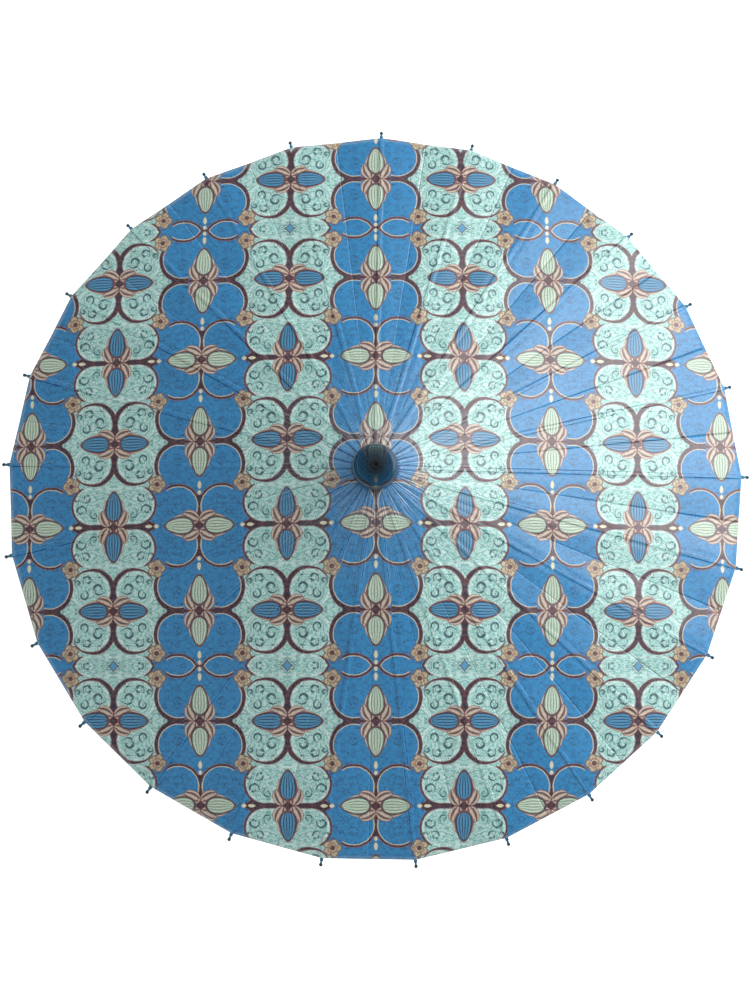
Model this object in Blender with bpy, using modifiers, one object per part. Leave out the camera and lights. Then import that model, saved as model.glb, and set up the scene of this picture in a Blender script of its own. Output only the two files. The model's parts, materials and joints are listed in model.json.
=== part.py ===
"""Oil paper umbrella: a pleated paper canopy on bamboo ribs, opened by a sliding runner.

Metres, +Z up the shaft. The origin is the centre of the handle's flat bottom face.
The umbrella stands open. Each rib hinges on the upper hub, each stretcher hinges on
its rib and rests with its foot in the runner. Ribs and stretchers are isosceles, so
a stretcher turns exactly twice as far as its rib while the runner comes down.
"""

import math

import bmesh
import bpy
from mathutils import Matrix, Vector

MM = 0.001

# Overall layout
RIB_COUNT = 25
RIB_PITCH = 2 * math.pi / RIB_COUNT
FIRST_RIB = math.radians(2.6)
OPEN_SLOPE = math.radians(22)
TIP_RADIUS = 420 * MM
CORNER_RADIUS = 411 * MM
PIVOT_RADIUS = 20 * MM
HUB_PIVOT_HEIGHT = 535 * MM
JOINT_DISTANCE = 190 * MM
RUNNER_PIVOT_HEIGHT = HUB_PIVOT_HEIGHT - 2 * JOINT_DISTANCE * math.sin(OPEN_SLOPE)

# Ribs, measured along the rib and above its pivot line
RIB_WIDTH = 3.8 * MM
RIB_BOTTOM = 1.9 * MM
RIB_TAPER = 0.3 * MM
RIB_TOP = 5.4 * MM
HEAD_WIDTH = 1.9 * MM
HEAD_RADIUS = 2.0 * MM
HEAD_LENGTH = 9 * MM
EAR_DROP = 2.2 * MM
EAR_HALF_LENGTH = 2.5 * MM
EAR_HALF_ROOT = 5 * MM
EAR_SLOT = 1.6 * MM
EAR_SLOT_TOP = 2.1 * MM
TIP_NECK_LENGTH = 9 * MM
TIP_NECK = 2.4 * MM
TIP_BEAD_RADIUS = 2.2 * MM
RIB_MIDDLE = (RIB_BOTTOM + RIB_TOP) / 2
RIB_LENGTH = (
    TIP_RADIUS - PIVOT_RADIUS - RIB_MIDDLE * math.sin(OPEN_SLOPE)
) / math.cos(OPEN_SLOPE)

# Stretchers, as long as the joint is far from the rib's pivot
STRETCHER_LENGTH = JOINT_DISTANCE
STRETCHER_WIDTH = 3.0 * MM
STRETCHER_RADIUS = 1.6 * MM
TONGUE_WIDTH = 1.2 * MM
TONGUE_LENGTH = 6.5 * MM
FOOT_WIDTH = 1.9 * MM
FOOT_LENGTH = 32 * MM

# Threads and the holes and grooves that hold them
THREAD_RADIUS = 0.4 * MM
THREAD_HOLE_RADIUS = 0.8 * MM
GROOVE_HALF_HEIGHT = 0.9 * MM
GROOVE_RADIUS = 19 * MM

# Shaft, hub, runner, handle and cap
SHAFT_RADIUS = 6.5 * MM
SHAFT_BOTTOM = 25.5 * MM
SHAFT_TOP = HUB_PIVOT_HEIGHT + 18 * MM
SHAFT_STEPS = 32
SOCKET_RADIUS = SHAFT_RADIUS + 0.35 * MM
FLANGE_RADIUS = 21.6 * MM
FLANGE_SLOT = 2.3 * MM
SLOT_RADIUS = 17.5 * MM
FLANGE_EDGE = 0.6 * MM
FLANGE_ABOVE = 3.5 * MM
FLANGE_BELOW = 5 * MM
HUB_NECK_RADIUS = 14 * MM
HUB_NECK_LENGTH = 24 * MM
RUNNER_NECK_RADIUS = 13 * MM
RUNNER_GRIP_RADIUS = 15.5 * MM
RUNNER_GRIP_LENGTH = 10 * MM
RUNNER_LENGTH = 44.5 * MM
HANDLE_RADIUS = 12 * MM
HANDLE_HEIGHT = 95 * MM
CAP_RADIUS = 24.3 * MM
CAP_BOTTOM = HUB_PIVOT_HEIGHT + 6.4 * MM
CAP_TOP = HUB_PIVOT_HEIGHT + 30 * MM
CAP_DIMPLE_RADIUS = 2.4 * MM
CAP_DIMPLE_DEPTH = 2 * MM
CAP_ROUNDING = 5 * MM
CAP_CROWN_DROP = 2.2 * MM

# Canopy, above the ribs' pivot line
CANOPY_GAP = 0.4 * MM
CANOPY_THICKNESS = 0.3 * MM
CANOPY_HOLE_RADIUS = 23.5 * MM

# Spring catch under the runner, on the +X side
CATCH_NOSE_HEIGHT = RUNNER_PIVOT_HEIGHT - RUNNER_LENGTH - 0.4 * MM
CATCH_LENGTH = 42 * MM
CATCH_PIVOT_X = 3.6 * MM
CATCH_REACH = 9.2 * MM
CATCH_WIDTH = 2.8 * MM
CATCH_SLOT_WIDTH = 3.6 * MM
CATCH_SLOT_FLOOR = 0.6 * MM
CATCH_SLOT_PLAY = 4 * MM
CATCH_FOOT_RADIUS = 1.6 * MM
CATCH_BEND = 8 * MM
CATCH_NOSE_DEPTH = 3 * MM

TURNED_STEPS = 48
MERGE = 0.01 * MM


def clear_scene():
    for obj in list(bpy.data.objects):
        bpy.data.objects.remove(obj, do_unlink=True)


def new_collection(name):
    collection = bpy.data.collections.new(name)
    bpy.context.scene.collection.children.link(collection)
    return collection


def make_material(name, colour, roughness, metallic=0.0):
    material = bpy.data.materials.new(name)
    material.use_nodes = True
    shader = material.node_tree.nodes["Principled BSDF"]
    shader.inputs["Base Color"].default_value = (*colour, 1)
    shader.inputs["Roughness"].default_value = roughness
    shader.inputs["Metallic"].default_value = metallic
    material.diffuse_color = (*colour, 1)
    return material


def add_object(name, data, collection, material=None):
    obj = bpy.data.objects.new(name, data)
    collection.objects.link(obj)
    if material:
        obj.data.materials.clear()
        obj.data.materials.append(material)
    return obj


def as_cutter(obj):
    obj.hide_render = True
    obj.display_type = "WIRE"
    return obj


def combine(obj, other, operation="DIFFERENCE"):
    modifier = obj.modifiers.new(f"{operation.lower()} {other.name}", "BOOLEAN")
    modifier.operation = operation
    modifier.solver = "EXACT"
    modifier.object = other


def evaluated_mesh(obj, name):
    """The object's mesh with its modifiers applied, in world space."""
    bpy.context.view_layer.update()
    graph = bpy.context.evaluated_depsgraph_get()
    mesh = bpy.data.meshes.new_from_object(obj.evaluated_get(graph))
    mesh.name = name
    mesh.transform(obj.matrix_world)
    return mesh


def weld(mesh):
    shape = bmesh.new()
    shape.from_mesh(mesh)
    bmesh.ops.remove_doubles(shape, verts=shape.verts, dist=MERGE)
    bmesh.ops.recalc_face_normals(shape, faces=shape.faces)
    shape.to_mesh(mesh)
    shape.free()


def smooth_round(obj, angle=35):
    obj.data.shade_smooth()
    obj.data.set_sharp_from_angle(angle=math.radians(angle))


def boxes(name, collection, sizes_and_places):
    """One cutter holding a box for each (size, matrix)."""
    shape = bmesh.new()
    for size, place in sizes_and_places:
        scaled = place @ Matrix.Diagonal((*size, 1))
        bmesh.ops.create_cube(shape, size=1, matrix=scaled)
    mesh = bpy.data.meshes.new(name)
    shape.to_mesh(mesh)
    shape.free()
    return as_cutter(add_object(name, mesh, collection))


def cross_pin(name, collection, radius, x, length):
    """A cutter along Y, at x on the pivot line."""
    shape = bmesh.new()
    place = Matrix.Translation((x, 0, 0)) @ Matrix.Rotation(math.pi / 2, 4, "X")
    bmesh.ops.create_cone(
        shape,
        cap_ends=True,
        segments=6,
        radius1=radius,
        radius2=radius,
        depth=length,
        matrix=place,
    )
    mesh = bpy.data.meshes.new(name)
    shape.to_mesh(mesh)
    shape.free()
    return as_cutter(add_object(name, mesh, collection))


def flat_outline(name, collection, outline, width):
    """A flat shape drawn in X and Z and `width` thick along Y, as a mesh object."""
    curve = bpy.data.curves.new(name, "CURVE")
    curve.dimensions = "2D"
    curve.fill_mode = "BOTH"
    curve.extrude = width / 2
    spline = curve.splines.new("POLY")
    spline.points.add(len(outline) - 1)
    for point, (x, z) in zip(spline.points, outline):
        point.co = (x, z, 0, 1)
    spline.use_cyclic_u = True
    drawn = add_object(name + "_outline", curve, collection)
    drawn.rotation_euler.x = math.pi / 2
    mesh = evaluated_mesh(drawn, name)
    bpy.data.objects.remove(drawn, do_unlink=True)
    weld(mesh)
    return add_object(name, mesh, collection)


def arc(centre, radius, first, last, steps):
    """Points on an arc in X and Z; the angles are in degrees from +X."""
    points = []
    for step in range(steps + 1):
        angle = math.radians(first + (last - first) * step / steps)
        points.append(
            (centre[0] + radius * math.cos(angle), centre[1] + radius * math.sin(angle))
        )
    return points


def turned(name, collection, profile, material=None, closed=False, steps=TURNED_STEPS):
    """A profile of (radius, height) points, top to bottom on its outer side, turned about Z.

    With one step for each rib, every flat side faces a rib.
    """
    mesh = bpy.data.meshes.new(name)
    points = [(radius, 0, height) for radius, height in profile]
    edges = [(i, i + 1) for i in range(len(points) - 1)]
    if closed:
        edges.append((len(points) - 1, 0))
    mesh.from_pydata(points, edges, [])
    obj = add_object(name, mesh, collection, material)
    screw = obj.modifiers.new("turn", "SCREW")
    screw.steps = steps
    screw.render_steps = steps
    screw.use_merge_vertices = True
    screw.merge_threshold = MERGE
    screw.use_smooth_shade = True
    if steps == RIB_COUNT:
        obj.rotation_euler.z = FIRST_RIB + RIB_PITCH / 2
    return obj


def rib_angle(index):
    return FIRST_RIB + index * RIB_PITCH


def thread_ring(name, collection, radius, height, material):
    """A thread pulled straight from rib to rib, round the whole umbrella."""
    curve = bpy.data.curves.new(name, "CURVE")
    curve.dimensions = "3D"
    curve.bevel_depth = THREAD_RADIUS
    curve.bevel_resolution = 1
    spline = curve.splines.new("POLY")
    spline.points.add(RIB_COUNT - 1)
    for index, point in enumerate(spline.points):
        angle = rib_angle(index)
        point.co = (radius * math.cos(angle), radius * math.sin(angle), height, 1)
    spline.use_cyclic_u = True
    return add_object(name, curve, collection, material)


def flange_cutters(name, collection, height):
    """The slots for the rib or stretcher ends, and the groove for their thread."""
    depth = 2 * (FLANGE_RADIUS - SLOT_RADIUS)
    tall = 2 * (FLANGE_ABOVE + FLANGE_BELOW)
    slots = []
    for index in range(RIB_COUNT):
        place = Matrix.Rotation(rib_angle(index), 4, "Z") @ Matrix.Translation(
            (SLOT_RADIUS + depth / 2, 0, height)
        )
        slots.append(((depth, FLANGE_SLOT, tall), place))
    slot_cutter = boxes(name + "_slots", collection, slots)
    outside = FLANGE_RADIUS + 2 * MM
    groove = turned(
        name + "_groove",
        collection,
        [
            (outside, height + GROOVE_HALF_HEIGHT),
            (outside, height - GROOVE_HALF_HEIGHT),
            (GROOVE_RADIUS, height - GROOVE_HALF_HEIGHT),
            (GROOVE_RADIUS, height + GROOVE_HALF_HEIGHT),
        ],
        closed=True,
        steps=RIB_COUNT,
    )
    return slot_cutter, as_cutter(groove)


def side_cuts(start, end, width):
    """Boxes either side of a rod that leave it `width` wide from start to end."""
    depth = 4 * MM
    size = (end - start, depth, 20 * MM)
    middle = (start + end) / 2
    sides = (-(width + depth) / 2, (width + depth) / 2)
    return [(size, Matrix.Translation((middle, side, 0))) for side in sides]


def rib_outline():
    """Side view: a round head, the rod, two ears at the joint and a thin neck at the tip."""
    joint = JOINT_DISTANCE
    neck = RIB_LENGTH - TIP_NECK_LENGTH
    neck_end = RIB_LENGTH - TIP_BEAD_RADIUS * 0.8
    neck_low = RIB_MIDDLE - TIP_NECK / 2
    neck_high = RIB_MIDDLE + TIP_NECK / 2
    outline = arc((0, 0), HEAD_RADIUS, 100, 260, 3)
    outline += [(3 * MM, -HEAD_RADIUS), (HEAD_LENGTH, RIB_BOTTOM + RIB_TAPER)]
    outline += [(joint - EAR_HALF_ROOT, RIB_BOTTOM), (joint - EAR_HALF_LENGTH, -EAR_DROP)]
    outline += [(joint + EAR_HALF_LENGTH, -EAR_DROP), (joint + EAR_HALF_ROOT, RIB_BOTTOM)]
    outline += [(neck, RIB_BOTTOM + RIB_TAPER), (neck + 2 * MM, neck_low)]
    outline += [(neck_end, neck_low), (neck_end, neck_high)]
    outline += [(neck + 2 * MM, neck_high), (neck, RIB_TOP), (HEAD_LENGTH, RIB_TOP)]
    return outline


def rib_mesh(cutters):
    """One rib with its pivot at the origin and its length along +X."""
    rib = flat_outline("rib_shape", cutters, rib_outline(), RIB_WIDTH)
    as_cutter(rib)
    cheeks = side_cuts(-HEAD_LENGTH, HEAD_LENGTH, HEAD_WIDTH)
    cheeks += side_cuts(RIB_LENGTH - TIP_NECK_LENGTH + 2 * MM, RIB_LENGTH + 5 * MM, TIP_NECK)
    ear_height = EAR_SLOT_TOP + EAR_DROP + 1 * MM
    ear_place = Matrix.Translation((JOINT_DISTANCE, 0, EAR_SLOT_TOP - ear_height / 2))
    ear_gap = (2 * EAR_HALF_ROOT + 1 * MM, EAR_SLOT, ear_height)
    combine(rib, boxes("rib_cheeks", cutters, cheeks))
    combine(rib, boxes("rib_ear_slot", cutters, [(ear_gap, ear_place)]))
    for where, x in (("head", 0), ("ear", JOINT_DISTANCE)):
        hole = cross_pin(f"rib_{where}_hole", cutters, THREAD_HOLE_RADIUS, x, 2 * RIB_WIDTH)
        combine(rib, hole)
    bead = bmesh.new()
    bead_place = Matrix.Translation((RIB_LENGTH - TIP_BEAD_RADIUS, 0, RIB_MIDDLE))
    turn = Matrix.Rotation(math.pi / 2, 4, "Y")
    bmesh.ops.create_uvsphere(
        bead, u_segments=6, v_segments=5, radius=TIP_BEAD_RADIUS, matrix=bead_place @ turn
    )
    bead_mesh = bpy.data.meshes.new("rib_tip_bead")
    bead.to_mesh(bead_mesh)
    bead.free()
    combine(rib, as_cutter(add_object("rib_tip_bead", bead_mesh, cutters)), "UNION")
    return evaluated_mesh(rib, "rib")


def stretcher_mesh(cutters):
    """One stretcher with its tongue's pivot at the origin and its length along +X."""
    length = STRETCHER_LENGTH
    outline = arc((0, 0), STRETCHER_RADIUS, 90, 270, 4)
    outline += arc((length, 0), STRETCHER_RADIUS, -90, 90, 4)
    stretcher = flat_outline("stretcher_shape", cutters, outline, STRETCHER_WIDTH)
    as_cutter(stretcher)
    cheeks = side_cuts(-TONGUE_LENGTH, TONGUE_LENGTH, TONGUE_WIDTH)
    cheeks += side_cuts(length - FOOT_LENGTH, length + FOOT_LENGTH, FOOT_WIDTH)
    combine(stretcher, boxes("stretcher_cheeks", cutters, cheeks))
    for where, x in (("tongue", 0), ("foot", length)):
        hole = cross_pin(
            f"stretcher_{where}_hole", cutters, THREAD_HOLE_RADIUS, x, 2 * RIB_WIDTH
        )
        combine(stretcher, hole)
    return evaluated_mesh(stretcher, "stretcher")


def add_ribs(parts, cutters, material):
    """Each rib and each stretcher has its origin on its hinge."""
    rib = rib_mesh(cutters)
    stretcher = stretcher_mesh(cutters)
    joint_radius = PIVOT_RADIUS + JOINT_DISTANCE * math.cos(OPEN_SLOPE)
    joint_height = HUB_PIVOT_HEIGHT - JOINT_DISTANCE * math.sin(OPEN_SLOPE)
    for name, mesh, radius, height, tilt in (
        ("rib", rib, PIVOT_RADIUS, HUB_PIVOT_HEIGHT, OPEN_SLOPE),
        ("stretcher", stretcher, joint_radius, joint_height, math.pi - OPEN_SLOPE),
    ):
        for index in range(RIB_COUNT):
            around = Matrix.Rotation(rib_angle(index), 4, "Z")
            hinge = Matrix.Translation(Vector((radius, 0, height)))
            obj = add_object(f"{name}_{index + 1:02d}", mesh, parts, material)
            obj.matrix_world = around @ hinge @ Matrix.Rotation(tilt, 4, "Y")
        smooth_round(obj)
    return joint_radius, joint_height


def add_canopy(parts, material):
    """A shell of one flat paper panel between each two ribs, open under the cap."""
    lift = RIB_TOP + CANOPY_GAP
    slope = math.tan(OPEN_SLOPE)
    surface = HUB_PIVOT_HEIGHT + lift / math.cos(OPEN_SLOPE)
    low = surface - (CORNER_RADIUS - PIVOT_RADIUS) * slope
    high = surface - (CANOPY_HOLE_RADIUS - PIVOT_RADIUS) * slope
    shape = bmesh.new()
    place = Matrix.Translation((0, 0, (low + high) / 2))
    turn = Matrix.Rotation(FIRST_RIB - math.pi / 2, 4, "Z")
    bmesh.ops.create_cone(
        shape,
        cap_ends=False,
        segments=RIB_COUNT,
        radius1=CORNER_RADIUS,
        radius2=CANOPY_HOLE_RADIUS,
        depth=high - low,
        matrix=place @ turn,
    )
    mesh = bpy.data.meshes.new("canopy")
    shape.to_mesh(mesh)
    shape.free()
    canopy = add_object("canopy", mesh, parts, material)
    shell = canopy.modifiers.new("paper thickness", "SOLIDIFY")
    shell.thickness = CANOPY_THICKNESS
    shell.offset = 1
    shell.use_even_offset = True


def add_upper_hub(parts, cutters, material):
    top = HUB_PIVOT_HEIGHT + FLANGE_ABOVE
    under = HUB_PIVOT_HEIGHT - FLANGE_BELOW
    bottom = HUB_PIVOT_HEIGHT - HUB_NECK_LENGTH
    hub = turned(
        "upper_hub",
        parts,
        [
            (SOCKET_RADIUS, top),
            (FLANGE_RADIUS - FLANGE_EDGE, top),
            (FLANGE_RADIUS, top - FLANGE_EDGE),
            (FLANGE_RADIUS, under),
            (HUB_NECK_RADIUS + 1 * MM, under - 1 * MM),
            (HUB_NECK_RADIUS, under - 3 * MM),
            (HUB_NECK_RADIUS, bottom + 1.5 * MM),
            (HUB_NECK_RADIUS - 1.5 * MM, bottom),
            (SOCKET_RADIUS, bottom),
        ],
        material,
        closed=True,
        steps=RIB_COUNT,
    )
    for cutter in flange_cutters("hub", cutters, HUB_PIVOT_HEIGHT):
        combine(hub, cutter)


def add_runner(parts, cutters, material):
    top = RUNNER_PIVOT_HEIGHT + FLANGE_ABOVE
    under = RUNNER_PIVOT_HEIGHT - FLANGE_BELOW
    bottom = RUNNER_PIVOT_HEIGHT - RUNNER_LENGTH
    bore = SHAFT_RADIUS + 0.4 * MM
    runner = turned(
        "runner",
        parts,
        [
            (bore, top),
            (FLANGE_RADIUS - FLANGE_EDGE, top),
            (FLANGE_RADIUS, top - FLANGE_EDGE),
            (FLANGE_RADIUS, under),
            (RUNNER_NECK_RADIUS + 2 * MM, under - 1 * MM),
            (RUNNER_NECK_RADIUS, under - 4 * MM),
            (RUNNER_NECK_RADIUS, bottom + RUNNER_GRIP_LENGTH + 4 * MM),
            (RUNNER_GRIP_RADIUS, bottom + RUNNER_GRIP_LENGTH),
            (RUNNER_GRIP_RADIUS, bottom + 2 * MM),
            (RUNNER_GRIP_RADIUS - 2 * MM, bottom),
            (bore, bottom),
        ],
        material,
        closed=True,
        steps=RIB_COUNT,
    )
    for cutter in flange_cutters("runner", cutters, RUNNER_PIVOT_HEIGHT):
        combine(runner, cutter)


def add_shaft(parts, cutters, material):
    """A round rod with a narrow slot that the spring catch sinks into."""
    shape = bmesh.new()
    bmesh.ops.create_cone(
        shape,
        cap_ends=True,
        segments=SHAFT_STEPS,
        radius1=SHAFT_RADIUS,
        radius2=SHAFT_RADIUS,
        depth=SHAFT_TOP - SHAFT_BOTTOM,
        matrix=Matrix.Translation((0, 0, (SHAFT_TOP + SHAFT_BOTTOM) / 2)),
    )
    mesh = bpy.data.meshes.new("shaft")
    shape.to_mesh(mesh)
    shape.free()
    shaft = add_object("shaft", mesh, parts, material)
    tall = CATCH_LENGTH + 2 * CATCH_SLOT_PLAY
    deep = 2 * SHAFT_RADIUS
    middle = Vector((CATCH_SLOT_FLOOR + deep / 2, 0, CATCH_NOSE_HEIGHT - CATCH_LENGTH / 2))
    slot = ((deep, CATCH_SLOT_WIDTH, tall), Matrix.Translation(middle))
    combine(shaft, boxes("catch_slot", cutters, [slot]))
    smooth_round(shaft)


def add_catch(parts, material):
    """A springy leaf: its flat nose holds the runner up, its foot bends in the shaft's slot."""
    foot = CATCH_FOOT_RADIUS
    nose = CATCH_REACH - CATCH_PIVOT_X
    shoulder = CATCH_LENGTH - CATCH_BEND
    outline = arc((0, 0), foot, 180, 360, 5)
    outline += [(foot, CATCH_BEND), (nose - 2.4 * MM, shoulder)]
    outline += [(nose, CATCH_LENGTH - CATCH_NOSE_DEPTH), (nose, CATCH_LENGTH)]
    outline += [(nose - 2.8 * MM, CATCH_LENGTH), (nose - 4.6 * MM, shoulder)]
    outline += [(-foot, CATCH_BEND)]
    catch = flat_outline("spring_catch", parts, outline, CATCH_WIDTH)
    catch.data.materials.append(material)
    catch.location = (CATCH_PIVOT_X, 0, CATCH_NOSE_HEIGHT - CATCH_LENGTH)


def add_handle(parts, material):
    """A turned grip with a blind socket for the shaft and a flat foot."""
    radius = HANDLE_RADIUS
    top = HANDLE_HEIGHT
    socket_floor = SHAFT_BOTTOM - 0.5 * MM
    turned(
        "handle",
        parts,
        [
            (0, socket_floor),
            (SOCKET_RADIUS, socket_floor),
            (SOCKET_RADIUS, top),
            (radius - 3 * MM, top),
            (radius - 1 * MM, top - 1.5 * MM),
            (radius - 1 * MM, top - 6 * MM),
            (radius - 2.2 * MM, top - 10 * MM),
            (radius - 0.6 * MM, top * 0.6),
            (radius, top * 0.3),
            (radius - 0.3 * MM, 5 * MM),
            (radius - 2 * MM, 0),
            (0, 0),
        ],
        material,
    )


def add_cap(parts, material):
    """The turned cap over the paper's centre, with a small dimple in its crown."""
    radius = CAP_RADIUS
    crown = CAP_TOP
    socket_top = SHAFT_TOP + 0.5 * MM
    profile = [(0, crown - CAP_DIMPLE_DEPTH), (CAP_DIMPLE_RADIUS * 0.6, crown - CAP_DIMPLE_DEPTH)]
    profile += [(CAP_DIMPLE_RADIUS, crown)]
    profile += [(radius * 0.55, crown - 0.8 * MM)]
    shoulder = (radius - CAP_ROUNDING, crown - CAP_CROWN_DROP - CAP_ROUNDING)
    profile += arc(shoulder, CAP_ROUNDING, 78, 0, 5)
    profile += [(radius, CAP_BOTTOM + 1 * MM), (radius - 0.8 * MM, CAP_BOTTOM)]
    profile += [(SOCKET_RADIUS, CAP_BOTTOM), (SOCKET_RADIUS, socket_top), (0, socket_top)]
    turned("finial_cap", parts, profile, material)


def main():
    clear_scene()
    parts = new_collection("Oil paper umbrella")
    cutters = new_collection("Cutters")
    bamboo = make_material("bamboo", (0.55, 0.36, 0.17), 0.45)
    paper = make_material("oiled paper", (0.10, 0.36, 0.55), 0.3)
    wood = make_material("turned wood", (0.40, 0.24, 0.12), 0.4)
    lacquer = make_material("dark lacquer", (0.04, 0.09, 0.16), 0.2)
    thread = make_material("cotton thread", (0.62, 0.56, 0.42), 0.8)
    joint_radius, joint_height = add_ribs(parts, cutters, bamboo)
    add_canopy(parts, paper)
    add_upper_hub(parts, cutters, wood)
    add_runner(parts, cutters, wood)
    add_shaft(parts, cutters, bamboo)
    add_catch(parts, bamboo)
    add_handle(parts, wood)
    add_cap(parts, lacquer)
    thread_ring("hub_thread", parts, PIVOT_RADIUS, HUB_PIVOT_HEIGHT, thread)
    thread_ring("joint_thread", parts, joint_radius, joint_height, thread)
    thread_ring("runner_thread", parts, PIVOT_RADIUS, RUNNER_PIVOT_HEIGHT, thread)


main()
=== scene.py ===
"""Looks of the oil paper umbrella: printed paper gores on bamboo ribs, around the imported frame.

Everything is in metres in the frame's own axes. Each rib carries one gore of paper, from the
middle of the panel on its left to the middle of the panel on its right. The print is drawn in
millimetres on the flat paper, from rest positions that each gore's mesh carries.
"""

import json
import math

import bmesh
import bpy
from mathutils import Matrix, Vector, noise


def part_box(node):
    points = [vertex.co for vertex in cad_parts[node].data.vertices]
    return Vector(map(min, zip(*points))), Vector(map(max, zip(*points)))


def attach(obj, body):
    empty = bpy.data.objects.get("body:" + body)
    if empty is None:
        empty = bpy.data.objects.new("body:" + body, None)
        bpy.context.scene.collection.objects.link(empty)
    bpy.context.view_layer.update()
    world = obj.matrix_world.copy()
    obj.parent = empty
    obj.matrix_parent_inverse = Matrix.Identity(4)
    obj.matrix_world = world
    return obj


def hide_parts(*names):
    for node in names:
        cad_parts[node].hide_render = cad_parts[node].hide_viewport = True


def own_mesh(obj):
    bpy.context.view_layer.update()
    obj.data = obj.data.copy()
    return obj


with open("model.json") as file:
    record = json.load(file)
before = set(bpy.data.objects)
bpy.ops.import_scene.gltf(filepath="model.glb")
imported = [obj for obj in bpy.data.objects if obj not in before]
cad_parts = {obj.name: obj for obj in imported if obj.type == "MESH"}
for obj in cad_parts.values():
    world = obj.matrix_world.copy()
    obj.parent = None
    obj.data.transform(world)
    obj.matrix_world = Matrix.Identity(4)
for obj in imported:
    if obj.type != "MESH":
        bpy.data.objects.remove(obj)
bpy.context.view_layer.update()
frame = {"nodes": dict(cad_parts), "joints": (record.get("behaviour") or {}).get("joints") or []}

MM = 0.001

# The print, in millimetres. A column runs from the blue's centre line to the mint's, and mirrors
# at both. A row runs from flower to flower, and a band is two rows and a short one.
COLUMN = 96.5
ROW = 92.8
SHORT_ROW = 60.2
BAND = 2 * ROW + SHORT_ROW
PRINT_SHIFT = 1.0
FIRST_ROW = 51.8
PRINT_ELEVATION = math.radians(84)
PRINT_WOBBLE = 1.5

# The print's rounded shapes, each with its centre (across, up) and radius
HIGH_LOBE, HIGH_RADIUS = (23.6, 26.2), 23.2
LOW_LOBE, LOW_RADIUS = (24.2, 72.2), 22.9
ARCH, ARCH_RADIUS = (71.2, 22.4), 22.4
BELL, BELL_RADIUS = (71, 69), 21
BLOSSOM = (47.7, 46.4)

# Widths of the print's brown lines, half widths of its stems, and where the stems end
LOW_LINE = 2.5
BELL_LINE = 1.9
ROW_STEM, ROW_STEM_END = 1.9, 36
MINT_STEM, MINT_STEM_END = 2.3, 33
BLUE_STEM, BLUE_STEM_START = 2.3, 59

# A flower's buds and its sepals, from its centre along the buds and across them
BUD_CENTRE, BUD_LENGTH, BUD_WIDTH = (22.4, 0), 16.4, 9.2
OUTER_SEPAL = (18, 8), -13, 14.5, 4.6
INNER_SEPAL = (9.4, 9.2), 24, 9.4, 7.2
HEART = 3.4
CALYX = 8.5

# The camera stands far off, almost over the canopy
VIEW_ELEVATION = math.radians(80.2)
CAMERA_DISTANCE = 3.79
CAMERA_LENS = 121.9
CAMERA_SHIFT = -0.0067

# The paper
PAPER_THICKNESS = 0.3 * MM
PANEL_SAG = 2.2 * MM
RIB_STEP = 0.5 * MM
RIB_HALF_WIDTH = 1.9 * MM
PLEAT_HEIGHT = 0.7 * MM
PLEAT_REACH = 75 * MM
COCKLE_HEIGHT = 0.5 * MM
GORE_ROWS = 90

# The strip of paper glued over each rib
STRIP_HALF_WIDTH = 2.25 * MM
STRIP_RISE = 0.14 * MM
STRIP_DEPTH = 1.7 * MM
STRIP_THICKNESS = 0.12 * MM

# The print's colours, in sRGB
BLUE = "0090ce"
BLUE_DEEP = "0074af"
BLUE_FLECK = "2c9bdc"
NAVY = "06305c"
MINT = "8fcfc1"
MINT_PALE = "c6e6de"
MINT_SHADE = "5aa8a2"
MINT_INK = "164a50"
MINT_RIM = "dff5ee"
BROWN = "6d3229"
BROWN_DEEP = "331c24"
RUST = "9a5038"
CREAM = "e6dcb8"
BUD_CREAM = "cfe0c2"
BUD_SHADE = "88a08c"
BUD_BLUE = "4a9cc6"
BUD_NAVY = "1a4c72"
SEPAL = "d3c0a6"
SEPAL_SHADE = "7c5347"
PETAL = "d2c49a"
PETAL_SHADE = "aa9068"

# The marks of the press over the print, then painted highlights along the ribs and on the pleats
FLECK_DARK = "082a48"
WEAVE_PALE = "a5dcec"
WEAVE_DARK = "0a2c40"
RIB_HIGHLIGHT_PALE = "b9dcea"
PLEAT_HIGHLIGHT_PALE = "cfe6ee"

# The floor and the studio, as strengths of light
FLOOR_GLOW = 0.55
WORLD_SEEN = 1.0
WORLD_ON_PAPER = 0.59
WORLD_IN_GLOSS = 0.03


def linear(code):
    """An sRGB hex colour as linear RGBA."""
    channels = [int(code[i : i + 2], 16) / 255 for i in (0, 2, 4)]
    curved = [c / 12.92 if c <= 0.04045 else ((c + 0.055) / 1.055) ** 2.4 for c in channels]
    return (*curved, 1.0)


def smoothstep(low, high, value):
    share = min(max((value - low) / (high - low), 0.0), 1.0)
    return share * share * (3 - 2 * share)


# Shader trees -----------------------------------------------------------------------------


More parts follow.
